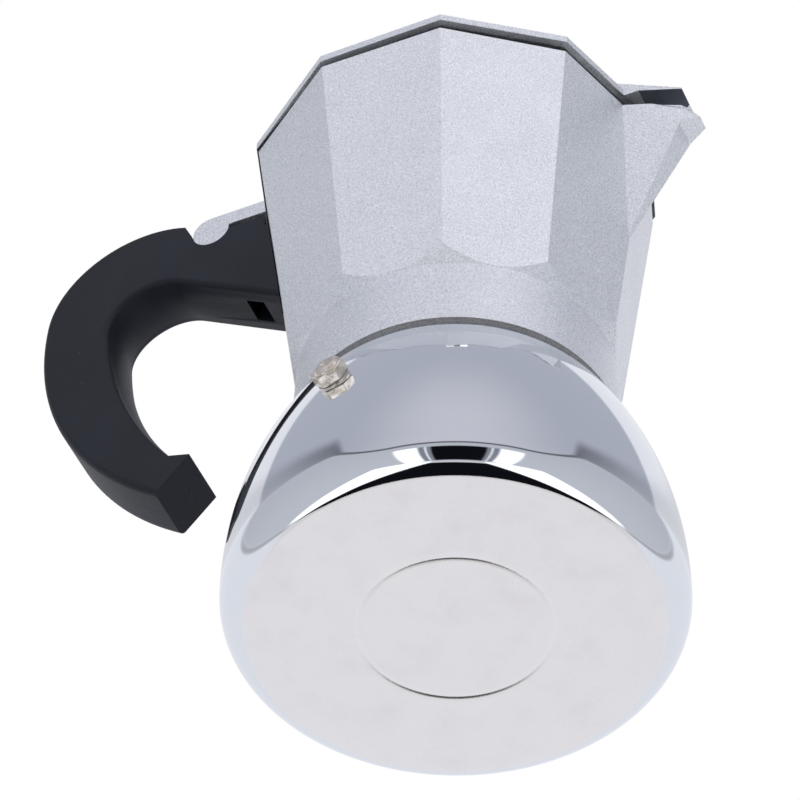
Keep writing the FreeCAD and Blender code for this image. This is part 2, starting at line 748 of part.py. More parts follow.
def make_handle():
    body = new_body("handle")
    seat = "( knuckle_radius + loose_gap )"
    seat_drop = "( hinge_height - handle_step )"
    notch = f"( hinge_reach - sqrt({seat} ^ 2 - {seat_drop} ^ 2) )"
    front = "-handle_root_reach"

    # two tangent arcs outside, and an arm, a crook and a long arc inside
    crown = ("-handle_crown_reach", "handle_crown_height")
    back = polar(crown, "handle_crown_arc - handle_back_arc", "handle_back_start")
    crook = ("-handle_crook_reach", "handle_crook_height")
    inner = polar(crook, "handle_crook_arc - handle_inner_arc", "handle_inner_start")
    arm = polar(crook, "handle_crook_arc", "handle_arm_angle")
    arm_run = f"( {front} - ( {arm[0]} ) )"
    hook = plate(body, "PartDesign::Pad", [
        (front, "handle_step"),
        (front, f"{arm[1]} - {arm_run} / tan(handle_arm_angle)"),
        (*arm, "handle_crook_arc", 1),
        (*polar(crook, "handle_crook_arc", "handle_inner_start"), "handle_inner_arc", 1),
        polar(inner, "handle_inner_arc", "handle_inner_finish"),
        ("-handle_toe_reach", "handle_toe_height"),
        (*polar(back, "handle_back_arc", "handle_back_finish"), "handle_back_arc", -1),
        (*polar(crown, "handle_crown_arc", "handle_back_start"), "handle_crown_arc", -1),
        polar(crown, "handle_crown_arc", "handle_crown_start"),
        (f"-( hinge_reach + {seat} )", "hinge_height", seat, 1),
        (f"-{notch}", "handle_step"),
    ], "handle_half_width")

    # rounded long edges
    long_edges = [
        "Edge" + str(index) for index, edge in enumerate(hook.Shape.Edges, start=1)
        if edge.Length > 3 * number("handle_half_width")
        and abs(edge.CenterOfMass.y) > number("handle_edge_round")]
    round_edges = body.newObject("PartDesign::Fillet", "handle_round")
    round_edges.Base = (hook, long_edges)
    round_edges.setExpression("Radius", bound("handle_edge_round"))
    body.Tip = round_edges
    doc.recompute()

    # the front follows the casting's corner, and its top clears the lid
    lofted(body, "PartDesign::SubtractiveLoft", [
        (height, polygon_corners(f"{casting_radius(height)} + loose_gap", CASTING_SIDES))
        for height in ("facet_base_height", "handle_crown_height + handle_crown_arc")])
    lid_room = new_sketch(body, "XY_Plane", f"{LID_FOOT} - 2 * loose_gap")
    draw_outline(lid_room, polygon_corners("lid_radius + 2 * loose_gap", CASTING_SIDES))
    extruded(body, "PartDesign::Pocket", lid_room, "handle_half_width", reverse=True)

    tongue_room = "tongue_half_width + loose_gap"
    slot_top = "handle_crown_height + handle_crown_arc"
    plate(body, "PartDesign::Pocket", [
        ("-facet_base_radius", "tongue_foot - loose_gap"),
        ("-facet_base_radius", slot_top),
        ("-( hinge_reach + knuckle_radius + loose_gap )", slot_top),
        ("-( hinge_reach + knuckle_radius + loose_gap )", "hinge_height - knuckle_radius"),
        ("-( window_far + handle_screw_head + loose_gap )", "tongue_foot - loose_gap"),
    ], tongue_room)

    window = new_sketch(body, "XY_Plane", "window_roof")
    draw_outline(window, [
        ("-window_far", "-window_half_width"),
        ("-window_near", "-window_half_width"),
        ("-window_near", "window_half_width"),
        ("-window_far", "window_half_width")])
    extruded(body, "PartDesign::Pocket", window, "2 * handle_half_width")

    screw_hole = new_sketch(body, "XY_Plane", "window_roof")
    draw_circle(screw_hole, SCREW_REACH, "0", "handle_screw_radius + loose_gap")
    extruded(body, "PartDesign::Pocket", screw_hole, "tongue_foot - window_roof", reverse=True)
    return body


def make_handle_screw():
    body = new_body("handle_screw")
    head = new_sketch(body, "XY_Plane", "window_roof - handle_screw_head_length")
    draw_circle(head, SCREW_REACH, "0", "handle_screw_head")
    extruded(body, "PartDesign::Pad", head, "handle_screw_head_length")
    shank = new_sketch(body, "XY_Plane", "window_roof")
    draw_circle(shank, SCREW_REACH, "0", "handle_screw_radius")
    length = "tongue_foot + handle_screw_grip - window_roof - loose_gap"
    extruded(body, "PartDesign::Pad", shank, length)
    return body


# the safety valve's pieces are made about +Z, with z = 0 on the bush's outer face
HEX_FOOT = "valve_washer_thickness"
HEX_TOP = f"{HEX_FOOT} + valve_hex_length"
SHANK_END = "-valve_shank_length"
BORE_END = f"{HEX_TOP} - spring_wire_radius * 2"
HEAD_FOOT = f"{SHANK_END} + retainer_length + running_gap"
HEAD_TOP = f"{HEAD_FOOT} + valve_head_length"


def make_valve_bush():
    body = new_body("valve_bush")
    turned(body, "PartDesign::Revolution",
           ring("valve_thread_radius", "bush_radius", "-bush_length", "0"))
    return body


def make_valve_washer():
    body = new_body("valve_washer")
    turned(body, "PartDesign::Revolution",
           ring("valve_thread_radius + running_gap", "bush_radius - loose_gap", "0", HEX_FOOT))
    return body


def make_valve_body():
    body = new_body("valve_body")
    hexagon = new_sketch(body, "XY_Plane", HEX_FOOT)
    draw_outline(hexagon, polygon_corners("valve_hex_width / 2 / cos(30)", HEXAGON_SIDES))
    extruded(body, "PartDesign::Pad", hexagon, "valve_hex_length")
    turned(body, "PartDesign::Revolution", [
        ("0", SHANK_END),
        ("valve_thread_radius", SHANK_END),
        ("valve_thread_radius", HEX_FOOT),
        ("valve_dome_radius", HEX_FOOT),
        ("valve_dome_radius", f"{HEX_TOP} + valve_dome_length / 3"),
        ("valve_dome_radius - valve_dome_slope", f"{HEX_TOP} + valve_dome_length"),
        ("0", f"{HEX_TOP} + valve_dome_length")])
    turned(body, "PartDesign::Groove", [
        ("0", SHANK_END),
        ("valve_bore", SHANK_END),
        ("valve_bore", BORE_END),
        ("valve_stem_radius + running_gap", BORE_END),
        ("valve_stem_radius + running_gap", f"{HEX_TOP} + valve_dome_length"),
        ("0", f"{HEX_TOP} + valve_dome_length")])
    return body


def make_valve_retainer():
    body = new_body("valve_retainer")
    turned(body, "PartDesign::Revolution",
           ring("0.6 * valve_bore", "valve_bore", SHANK_END, f"{SHANK_END} + retainer_length"))
    return body


def make_valve_stem():
    body = new_body("valve_stem")
    turned(body, "PartDesign::Revolution", [
        ("0", HEAD_FOOT),
        ("0.5 * valve_bore", HEAD_FOOT),
        ("valve_head_radius", f"{HEAD_FOOT} + valve_head_length / 2"),
        ("valve_head_radius", HEAD_TOP),
        ("valve_stem_radius", HEAD_TOP),
        ("valve_stem_radius", f"{HEX_TOP} + valve_dome_length + valve_stem_show"),
        ("0", f"{HEX_TOP} + valve_dome_length + valve_stem_show")])
    return body


def make_valve_spring():
    """A round wire wound between the stem's head and the end of the bore."""
    clear = "spring_wire_radius + running_gap"
    coil_radius = "( valve_bore + valve_stem_radius ) / 2"
    length = f"( {BORE_END} ) - ( {HEAD_TOP} ) - 2 * ( {clear} )"
    path = doc.addObject("Part::Helix", "spring_path")
    path.setExpression("Radius", bound(coil_radius))
    path.setExpression("Height", bound(length))
    path.setExpression("Pitch", bound(f"( {length} ) / spring_turns"))
    path.setExpression("Placement.Base.z", bound(f"{HEAD_TOP} + {clear}"))
    wire = doc.addObject("Part::Circle", "spring_wire")
    wire.setExpression("Radius", bound("spring_wire_radius"))
    wire.setExpression("Placement.Base.x", bound(coil_radius))
    wire.setExpression("Placement.Base.z", bound(f"{HEAD_TOP} + {clear}"))
    wire.Placement.Rotation = FreeCAD.Rotation(FreeCAD.Vector(1, 0, 0), 90)
    spring = doc.addObject("Part::Sweep", "valve_spring")
    spring.Sections = [wire]
    spring.Spine = (path, [])
    spring.Solid = True
    spring.Frenet = True
    doc.recompute()
    return spring


def make_boiler(shell, place):
    """The shell, pierced for the valve's bush."""
    hole = doc.addObject("Part::Cylinder", "bush_hole")
    hole.setExpression("Radius", bound("bush_radius"))
    hole.setExpression("Height", bound("2 * bush_length + valve_stand_off"))
    hole.Placement = place.multiply(FreeCAD.Placement(
        FreeCAD.Vector(0, 0, -number("bush_length + valve_stand_off")), FreeCAD.Rotation()))
    boiler = doc.addObject("Part::Cut", "boiler")
    boiler.Base = shell
    boiler.Tool = hole
    doc.recompute()
    return boiler


def valve_placement():
    """Where the bush's outer face sits on the bell, and which way the valve points."""
    around = math.radians(number("valve_angle"))
    tilt = math.radians(number("valve_tilt"))
    axis = FreeCAD.Vector(
        math.cos(around) * math.cos(tilt), math.sin(around) * math.cos(tilt), math.sin(tilt))
    radius = number(bell_radius("valve_height", "0"))
    wall = FreeCAD.Vector(
        radius * math.cos(around), radius * math.sin(around), number("valve_height"))
    seat = wall + axis * number("valve_stand_off")
    return FreeCAD.Placement(seat, FreeCAD.Rotation(FreeCAD.Vector(0, 0, 1), axis))


def lid_placement():
    """The lid rests a little ajar about its hinge."""
    hinge = FreeCAD.Vector(-number("hinge_reach"), 0, number("hinge_height"))
    turn = FreeCAD.Rotation(FreeCAD.Vector(0, -1, 0), number("lid_ajar"))
    return FreeCAD.Placement(FreeCAD.Vector(), turn, hinge)


valve_place = valve_placement()
lid_place = lid_placement()
boiler_shell = make_boiler_shell()
pieces = [
    make_boiler(boiler_shell, valve_place),
    make_neck_ring(),
    make_funnel(),
    make_drilled_disc(
        "funnel_strainer", "basket_radius - sheet_wall - loose_gap",
        f"{NECK_TOP} - basket_depth + sheet_wall", [("0.2", 6), ("0.5", 14), ("0.8", 22)]),
    make_gasket(),
    make_drilled_disc(
        "filter_plate", f"{SOCKET} - loose_gap", PLATE_FOOT, [("0.15", 6), ("0.4", 14), ("0.65", 24)]),
    make_upper_chamber(),
    make_hinge_pin(),
    make_handle(),
    make_handle_screw(),
]
for make_piece in (make_lid, make_lid_knob, make_knob_screw, make_knob_washer):
    piece = make_piece()
    piece.Placement = lid_place
    pieces.append(piece)
for make_piece in (make_valve_bush, make_valve_washer, make_valve_body, make_valve_retainer,
                   make_valve_stem, make_valve_spring):
    piece = make_piece()
    piece.Placement = valve_place
    pieces.append(piece)
doc.recompute()

for item in doc.Objects:
    if "Invalid" in item.State or "Error" in item.State:
        raise RuntimeError(item.Label + " did not rebuild")
os.makedirs("parts", exist_ok=True)
for piece in pieces:
    if piece.Shape.isNull() or not piece.Shape.isValid() or not piece.Shape.Solids:
        raise RuntimeError(piece.Label + " has no sound shape")
    piece.Shape.exportStep("parts/" + piece.Label + ".step")
    bounds = piece.Shape.BoundBox
    print(f"{piece.Label:16} solids {len(piece.Shape.Solids)} volume {piece.Shape.Volume:10.1f}"
          f" x {bounds.XMin:7.2f} {bounds.XMax:7.2f} y {bounds.YMin:7.2f} {bounds.YMax:7.2f}"
          f" z {bounds.ZMin:7.2f} {bounds.ZMax:7.2f}")
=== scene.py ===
import json
import math

import bmesh
import bpy
from mathutils import Matrix, Vector

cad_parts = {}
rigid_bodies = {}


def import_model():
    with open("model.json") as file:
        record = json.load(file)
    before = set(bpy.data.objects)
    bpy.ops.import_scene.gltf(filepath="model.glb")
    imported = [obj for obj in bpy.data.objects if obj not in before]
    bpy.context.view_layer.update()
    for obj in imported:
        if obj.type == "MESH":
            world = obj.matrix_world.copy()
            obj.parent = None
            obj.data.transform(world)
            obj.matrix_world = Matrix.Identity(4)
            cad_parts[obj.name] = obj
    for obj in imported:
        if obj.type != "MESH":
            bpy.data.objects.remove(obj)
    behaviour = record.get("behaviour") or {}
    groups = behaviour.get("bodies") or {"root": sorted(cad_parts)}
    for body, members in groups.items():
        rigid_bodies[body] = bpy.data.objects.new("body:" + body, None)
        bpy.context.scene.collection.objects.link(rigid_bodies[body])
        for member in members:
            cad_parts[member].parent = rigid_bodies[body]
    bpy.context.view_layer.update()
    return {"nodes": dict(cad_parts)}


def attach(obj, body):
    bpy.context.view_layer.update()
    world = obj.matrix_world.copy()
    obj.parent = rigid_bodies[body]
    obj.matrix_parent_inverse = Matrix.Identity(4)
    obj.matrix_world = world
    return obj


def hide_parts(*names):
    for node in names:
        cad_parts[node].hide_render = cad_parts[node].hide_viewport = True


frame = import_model()
mm = 0.001
weld = 0.002 * mm  # corners closer than this are one
flatAngle = math.radians(0.8)  # faces that meet flatter than this are one


def linearColour(hexCode):
    # sRGB hex to the linear values that shaders want
    parts = [int(hexCode[i:i + 2], 16) / 255 for i in (1, 3, 5)]
    return tuple(v / 12.92 if v <= 0.04045 else ((v + 0.055) / 1.055) ** 2.4 for v in parts) + (1,)


def addNode(tree, kind, inputs=(), output=0, **settings):
    # one node with its settings; inputs go by number or by name, and one output is handed on
    node = tree.nodes.new("ShaderNode" + kind)
    for name, value in settings.items():
        setattr(node, name, value)
    for name, value in inputs.items() if isinstance(inputs, dict) else enumerate(inputs):
        if isinstance(value, bpy.types.NodeSocket):
            tree.links.new(value, node.inputs[name])
        else:
            node.inputs[name].default_value = value
    return node.outputs[output]


def newMaterial(name, **surface):
    material = bpy.data.materials.new(name)
    material.use_nodes = True
    shader = material.node_tree.nodes["Principled BSDF"]
    for key, value in surface.items():
        shader.inputs[key.replace("_", " ")].default_value = value
    return material, material.node_tree, shader


smooth = {"interpolation_type": "SMOOTHSTEP"}  # a range with eased ends
colours = {"data_type": "RGBA"}  # a mix of two colours, at inputs 6 and 7
grainRange = (0.3, 0.7)  # most of a noise pattern's values lie between these


def beadBlastedAluminium():
    # die-cast aluminium blasted with fine glass beads: pale grey, with a sparkle of tiny dents;
    # the real dents are about 0.1 mm, drawn coarser so that they show
    look = {"light": "#FFFFFF", "dark": "#BDC2CC", "grain": 0.38, "dent": 0.1, "cloud": 14.0,
            "rough": (0.38, 0.52), "drift": (-0.03, 0.03)}
    material, tree, shader = newMaterial("beadBlastedAluminium", Metallic=1.0)
    place = addNode(tree, "TexCoord", output="Object")
    grain = addNode(tree, "TexNoise", {"Vector": place, "Scale": 1 / (look["grain"] * mm), "Detail": 3.0,
                                       "Roughness": 0.7})
    cloud = addNode(tree, "TexNoise", {"Vector": place, "Scale": 1 / (look["cloud"] * mm)})
    speckle = addNode(tree, "MapRange", (grain, *grainRange, 0.0, 1.0))
    colour = addNode(tree, "Mix", {0: speckle, 6: linearColour(look["dark"]),
                                   7: linearColour(look["light"])}, 2, **colours)
    tree.links.new(colour, shader.inputs["Base Color"])
    fine = addNode(tree, "MapRange", (grain, *grainRange, *look["rough"]))
    drift = addNode(tree, "MapRange", (cloud, *grainRange, *look["drift"]))
    tree.links.new(addNode(tree, "Math", (fine, drift), operation="ADD"), shader.inputs["Roughness"])
    bump = addNode(tree, "Bump", {"Height": grain, "Distance": look["dent"] * mm, "Strength": 1.0})
    tree.links.new(bump, shader.inputs["Normal"])
    return material


def mirrorSteel():
    # deep-drawn stainless steel: a buffed mirror on the side, a satin lapped base under it
    look = {"side": "#E2E5EA", "base": "#EBE9EA", "stain": "#D3CCC4", "blotch": 11.0, "speck": 0.9,
            "lapped": 46.8, "fade": 0.3, "mirror": (0.022, 0.05), "satin": (0.24, 0.3), "ripple": 0.004}
    material, tree, shader = newMaterial("mirrorSteel", Metallic=1.0)
    place = addNode(tree, "TexCoord", output="Object")
    height = addNode(tree, "SeparateXYZ", (place,), "Z")
    level = addNode(tree, "VectorMath", (place, (1, 1, 0)), operation="MULTIPLY")
    radius = addNode(tree, "VectorMath", (level,), "Value", operation="LENGTH")
    low = addNode(tree, "MapRange", (height, 0.5 * mm, 1.5 * mm, 1.0, 0.0))
    edge = look["lapped"] + look["fade"]
    inside = addNode(tree, "MapRange", (radius, look["lapped"] * mm, edge * mm, 1.0, 0.0), **smooth)
    under = addNode(tree, "Math", (low, inside), operation="MULTIPLY")
    blotch = addNode(tree, "TexNoise", {"Vector": place, "Scale": 1 / (look["blotch"] * mm),
                                        "Detail": 4.0, "Roughness": 0.6})
    stained = addNode(tree, "MapRange", (blotch, 0.45, 0.85, 0.0, 0.2), **smooth)
    base = addNode(tree, "Mix", {0: stained, 6: linearColour(look["base"]),
                                 7: linearColour(look["stain"])}, 2, **colours)
    colour = addNode(tree, "Mix", {0: under, 6: linearColour(look["side"]), 7: base}, 2, **colours)
    tree.links.new(colour, shader.inputs["Base Color"])
    haze = addNode(tree, "MapRange", (blotch, *grainRange, *look["mirror"]))
    satin = addNode(tree, "MapRange", (blotch, *grainRange, *look["satin"]))
    tree.links.new(addNode(tree, "Mix", {0: under, 2: haze, 3: satin}), shader.inputs["Roughness"])
    speck = addNode(tree, "TexNoise", {"Vector": place, "Scale": 1 / (look["speck"] * mm)})
    ripple = addNode(tree, "Math", (under, speck), operation="MULTIPLY")
    bump = addNode(tree, "Bump", {"Height": ripple, "Distance": look["ripple"] * mm, "Strength": 1.0})
    tree.links.new(bump, shader.inputs["Normal"])
    return material


def turnedSteel():
    # stainless steel as the lathe leaves it: rings around Z, a little dull; drawn 2.2 mm apart,
    # coarser than the real feed marks, so that they show
    look = {"light": "#F0EDE8", "dark": "#C9C1B7", "pitch": 2.2, "groove": 0.02}
    waveLength = math.pi / 10  # how far apart the bands lie at scale 1
    material, tree, shader = newMaterial("turnedSteel", Metallic=1.0, Roughness=0.42)
    place = addNode(tree, "TexCoord", output="Object")
    rings = addNode(tree, "TexWave", {"Vector": place, "Scale": waveLength / (look["pitch"] * mm),
                                      "Distortion": 0.6, "Detail": 2.0}, "Fac",
                    wave_type="BANDS", bands_direction="Z")
    colour = addNode(tree, "Mix", {0: rings, 6: linearColour(look["dark"]),
                                   7: linearColour(look["light"])}, 2, **colours)
    tree.links.new(colour, shader.inputs["Base Color"])
    bump = addNode(tree, "Bump", {"Height": rings, "Distance": look["groove"] * mm, "Strength": 1.0})
    tree.links.new(bump, shader.inputs["Normal"])
    return material


def mouldedNylon(toe=None):
    # glass-filled nylon from a spark-eroded mould: matte blue-black, rubbed and flecked by handling;
    # with a toe, the mould's parting line runs along y = 0 and the end is scratched where it rests
    look = {"deep": "#0D101A", "pale": "#141826", "scuff": "#5F6268", "cloud": 22.0, "texture": 0.35,
            "flecks": 1.6, "erosion": 0.03, "seam": 0.09, "seamDepth": 2.0, "reach": 9.0, "scratch": 2.6}
    material, tree, shader = newMaterial("mouldedNylon", IOR=1.53, Specular_IOR_Level=0.3)
    place = addNode(tree, "TexCoord", output="Object")
    cloud = addNode(tree, "TexNoise", {"Vector": place, "Scale": 1 / (look["cloud"] * mm), "Detail": 3.0})
    tone = addNode(tree, "MapRange", (cloud, 0.35, 0.65, 0.0, 1.0))
    colour = addNode(tree, "Mix", {0: tone, 6: linearColour(look["deep"]),
                                   7: linearColour(look["pale"])}, 2, **colours)
    specks = addNode(tree, "TexNoise", {"Vector": place, "Scale": 1 / (look["flecks"] * mm),
                                        "Detail": 1.0})
    fleck = addNode(tree, "MapRange", (specks, 0.78, 0.82, 0.0, 0.6))
    texture = addNode(tree, "TexNoise", {"Vector": place, "Scale": 1 / (look["texture"] * mm),
                                         "Roughness": 0.6})
    height = texture
    if toe:
        side = addNode(tree, "SeparateXYZ", (place,), "Y")
        across = addNode(tree, "Math", (side,), operation="ABSOLUTE")
        seam = addNode(tree, "MapRange", (across, 0.0, look["seam"] * mm, 1.0, 0.0), **smooth)
        depth = addNode(tree, "Math", (seam, look["seamDepth"]), operation="MULTIPLY")
        height = addNode(tree, "Math", (texture, depth), operation="SUBTRACT")
        away = addNode(tree, "VectorMath", (place, toe), "Value", operation="DISTANCE")
        reach = look["reach"] * mm
        near = addNode(tree, "MapRange", (away, 0.6 * reach, reach, 1.0, 0.0), **smooth)
        drawn = addNode(tree, "Mapping", {"Vector": place, "Rotation": (0.3, 0.9, 0.2),
                                          "Scale": (1, 7, 1)})
        lines = addNode(tree, "TexNoise", {"Vector": drawn, "Scale": 1 / (look["scratch"] * mm),
                                           "Detail": 5.0, "Roughness": 0.7})
        scratch = addNode(tree, "MapRange", (lines, 0.62, 0.7, 0.0, 0.6))
        scratch = addNode(tree, "Math", (scratch, near), operation="MULTIPLY")
        fleck = addNode(tree, "Math", (fleck, scratch), operation="MAXIMUM")
    colour = addNode(tree, "Mix", {0: fleck, 6: colour, 7: linearColour(look["scuff"])}, 2, **colours)
    tree.links.new(colour, shader.inputs["Base Color"])
    rough = addNode(tree, "MapRange", (texture, *grainRange, 0.48, 0.62))
    tree.links.new(rough, shader.inputs["Roughness"])
    bump = addNode(tree, "Bump", {"Height": height, "Distance": look["erosion"] * mm, "Strength": 1.0})
    tree.links.new(bump, shader.inputs["Normal"])
    return material


def nickelPlate():
    # nickel over turned brass: warm grey with fine tool marks and small dull patches
    look = {"light": "#F0E9E0", "dark": "#BFB5A8", "patch": 1.8, "mark": 0.3, "depth": 0.02}
    material, tree, shader = newMaterial("nickelPlate", Metallic=1.0)
    place = addNode(tree, "TexCoord", output="Object")
    patch = addNode(tree, "TexNoise", {"Vector": place, "Scale": 1 / (look["patch"] * mm), "Detail": 4.0,
                                       "Roughness": 0.6})
    mark = addNode(tree, "TexNoise", {"Vector": place, "Scale": 1 / (look["mark"] * mm)})
    dull = addNode(tree, "MapRange", (patch, 0.35, 0.68, 0.0, 1.0))
    colour = addNode(tree, "Mix", {0: dull, 6: linearColour(look["light"]),
                                   7: linearColour(look["dark"])}, 2, **colours)
    tree.links.new(colour, shader.inputs["Base Color"])
    rough = addNode(tree, "MapRange", (patch, *grainRange, 0.16, 0.34))
    tree.links.new(rough, shader.inputs["Roughness"])
    bump = addNode(tree, "Bump", {"Height": mark, "Distance": look["depth"] * mm, "Strength": 1.0})
    tree.links.new(bump, shader.inputs["Normal"])
    return material


def silicone():
    # cured silicone: milky grey, soft, with a trace of light through it
    look = {"pale": "#C9C6BF", "deep": "#B3AFA7", "cloud": 3.0, "glow": 1.5}
    material, tree, shader = newMaterial("silicone", IOR=1.41, Subsurface_Weight=0.15,
                                         Subsurface_Scale=look["glow"] * mm)
    place = addNode(tree, "TexCoord", output="Object")
    cloud = addNode(tree, "TexNoise", {"Vector": place, "Scale": 1 / (look["cloud"] * mm), "Detail": 3.0})
    colour = addNode(tree, "Mix", {0: cloud, 6: linearColour(look["deep"]),
                                   7: linearColour(look["pale"])}, 2, **colours)
    tree.links.new(colour, shader.inputs["Base Color"])
    rough = addNode(tree, "MapRange", (cloud, *grainRange, 0.42, 0.55))
    tree.links.new(rough, shader.inputs["Roughness"])
    return material


def paintedShadeAluminium():
    # painted shade: a dull, dark, half-metallic aluminium that stands in for the shadow on the lid's
    # downward faces under the nose and rim
    look = {"pale": "#757A84", "deep": "#565B64", "cloud": 2.5}
    material, tree, shader = newMaterial("paintedShadeAluminium", Metallic=0.55)
    place = addNode(tree, "TexCoord", output="Object")
    cloud = addNode(tree, "TexNoise", {"Vector": place, "Scale": 1 / (look["cloud"] * mm), "Detail": 4.0})
    colour = addNode(tree, "Mix", {0: cloud, 6: linearColour(look["deep"]),
                                   7: linearColour(look["pale"])}, 2, **colours)
    tree.links.new(colour, shader.inputs["Base Color"])
    rough = addNode(tree, "MapRange", (cloud, *grainRange, 0.5, 0.65))
    tree.links.new(rough, shader.inputs["Roughness"])
    return material


toe = (-64.0 * mm, 0.0, 73.0 * mm)  # the free end of the handle
castingFinish = beadBlastedAluminium()
steelFinish = mirrorSteel()
turnedFinish = turnedSteel()
nylonFinish = mouldedNylon()
handleFinish = mouldedNylon(toe)
nickelFinish = nickelPlate()
sealFinish = silicone()

ownFinish = {
    "funnel": castingFinish, "funnel_strainer": castingFinish, "filter_plate": castingFinish,
    "gasket": sealFinish, "valve_bush": nickelFinish, "valve_retainer": nickelFinish,
    "valve_stem": turnedFinish, "valve_spring": turnedFinish, "valve_washer": sealFinish,
    "hinge_pin": turnedFinish, "handle_screw": turnedFinish, "knob_screw": turnedFinish,
    "knob_washer": turnedFinish}
for name, finish in ownFinish.items():
    slots = frame["nodes"][name].data.materials
    slots.clear()
    slots.append(finish)
print("finishes on the frame's own nodes")


def finishPiece(mesh, name, node, body, material, smoothAngle=35):
    # turns a bmesh into an object that stands for a CAD node
    bmesh.ops.remove_doubles(mesh, verts=mesh.verts, dist=weld)
    bmesh.ops.recalc_face_normals(mesh, faces=mesh.faces)
    limit = math.radians(smoothAngle)
    for face in mesh.faces:
        face.smooth = True
    for edge in mesh.edges:
        edge.smooth = len(edge.link_faces) == 2 and edge.calc_face_angle(0) < limit
    data = bpy.data.meshes.new(name)
    mesh.to_mesh(data)
    mesh.free()
    piece = bpy.data.objects.new(name, data)
    bpy.context.collection.objects.link(piece)
    piece.data.materials.append(material)
    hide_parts(node)
    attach(piece, body)
    return piece


def arcPoints(centre, radius, start, finish, count):
    # points of an arc in the X-Z plane, in millimetres and degrees
    angles = [math.radians(start + (finish - start) * step / count) for step in range(count + 1)]
    return [(centre[0] + radius * math.cos(turn), centre[1] + radius * math.sin(turn)) for turn in angles]


def spinOutline(points, steps=192):
    # a full turn of a closed outline about Z
    mesh = bmesh.new()
    corners = [mesh.verts.new((x * mm, 0, z * mm)) for x, z in points]
    edges = [mesh.edges.new(pair) for pair in zip(corners, corners[1:] + corners[:1])]
    bmesh.ops.spin(mesh, geom=corners + edges, cent=(0, 0, 0), axis=(0, 0, 1), angle=2 * math.pi,
                   steps=steps, use_merge=True)
    bmesh.ops.remove_doubles(mesh, verts=mesh.verts, dist=0.001 * mm)
    flat = [edge for edge in mesh.edges if not edge.link_faces]
    bmesh.ops.delete(mesh, geom=flat, context="EDGES")
    return mesh


def copyNode(name):
    # the CAD node's own shape with its loose triangles merged into clean faces
    mesh = bmesh.new()
    mesh.from_mesh(frame["nodes"][name].data)
    bmesh.ops.remove_doubles(mesh, verts=mesh.verts, dist=weld)
    bmesh.ops.dissolve_limit(mesh, angle_limit=flatAngle, verts=mesh.verts, edges=mesh.edges)
    return mesh


def softenEdges(piece, width, angle, segments=3):
    bevel = piece.modifiers.new("soften", "BEVEL")
    bevel.width = width * mm
    bevel.segments = segments
    bevel.limit_method = "ANGLE"
    bevel.angle_limit = math.radians(angle)
    bevel.harden_normals = False
    bevel.use_clamp_overlap = True
    return bevel


boiler = {"radius": 52.5, "straight": 9.0, "round": 5.5, "foot": 7.96, "arc": 95.0, "height": 58.8,
          "wall": 1.2, "stamp": 22.0, "dish": 0.16, "floor": 2.0, "mouth": 0.5, "lipIn": 0.25,
          "lipOut": 0.1,
          "dishShares": (0.3, 0.6, 0.8, 0.94), "dishSag": 0.35,  # along the stamp's radius
          "groovePath": ((-0.25, 0.096), (0.0, 0.22), (0.35, 0.066), (0.8, 0.0), (2.4, 0.06)),
          "ringPath": ((30, 0.02), (38, 0.0)),  # the lapped ring is level to a few hundredths
          "footPath": ((-0.6, 0.0), (-0.12, 0.012), (0.0, 0.05))}  # from the end of the flat


def makeBoiler():
    # one drawn shell: dished stamp, lapped ring, rounded foot, bell side and a rolled mouth
    use = boiler
    flat = use["radius"] - use["round"]
    foot = use["foot"]
    centre = (use["radius"] - use["arc"], use["straight"])
    rise = use["height"] - use["mouth"] - use["straight"]
    innerArc = use["arc"] - use["wall"]
    bend = use["round"] - use["wall"]
    sweep = math.degrees(math.acos(1 - use["round"] / foot))
    points = [(0, use["dish"])]
    points += [(use["stamp"] * share, use["dish"] * (1 - use["dishSag"] * share ** 6))
               for share in use["dishShares"]]
    points += [(use["stamp"] + x, z) for x, z in use["groovePath"]]
    points += use["ringPath"]
    points += [(flat + x, z) for x, z in use["footPath"]]
    level = foot * math.sin(math.radians(sweep))
    points += arcPoints((use["radius"] - foot, level), foot, -sweep, 0, 30)[1:]
    points += arcPoints(centre, use["arc"], 0, math.degrees(math.asin(rise / use["arc"])), 40)
    top = points[-1][0]
    points += [(top - use["lipIn"], use["height"]), (top - use["wall"] + use["lipOut"], use["height"])]
    points += arcPoints(centre, innerArc, math.degrees(math.asin(rise / innerArc)), 0, 24)
    points += arcPoints((flat, use["floor"] + bend), bend, 0, -90, 8)
    points += [(0, use["floor"])]
    return finishPiece(spinOutline(points, 256), "boilerShell", "boiler", "boiler",
                       steelFinish, 50)


makeBoiler()
print("boiler shell")

neck = {"bore": 31.6, "radius": 34.8, "band": 37.2, "foot": 55.8, "shelf": 58.8, "bandTop": 60.3,
        "top": 71.5, "spigot": 37.1, "edge": 0.2, "bandEdge": 0.25, "topEdge": 0.3,
        "turns": 3, "firstTurn": 1.0, "pitch": 3.0, "thread": 0.45,
        "threadPath": ((1, 0.0), (1, 0.9), (0, 1.4), (0, 2.2), (1, 2.7))}  # 1 groove, 0 crest


def makeNeck():
    # the threaded ring that the upper part screws on
    use = neck
    root = use["radius"] - use["thread"]
    points = [(use["bore"], use["foot"]), (use["spigot"], use["foot"]), (use["spigot"], use["shelf"]),
              (use["band"], use["shelf"]), (use["band"], use["shelf"] + use["edge"]),
              (use["band"], use["bandTop"] - use["bandEdge"]),
              (use["band"] - use["bandEdge"], use["bandTop"])]
    for turn in range(use["turns"]):
        base = use["bandTop"] + use["firstTurn"] + turn * use["pitch"]
        points += [(use["radius"] - deep * use["thread"], base + z) for deep, z in use["threadPath"]]
    points += [(root, use["top"] - use["edge"]), (root - use["topEdge"], use["top"]),
               (use["bore"], use["top"])]
    return finishPiece(spinOutline(points, 160), "neckThread", "neck_ring", "boiler",
                       turnedFinish, 25)


makeNeck()
print("neck ring")

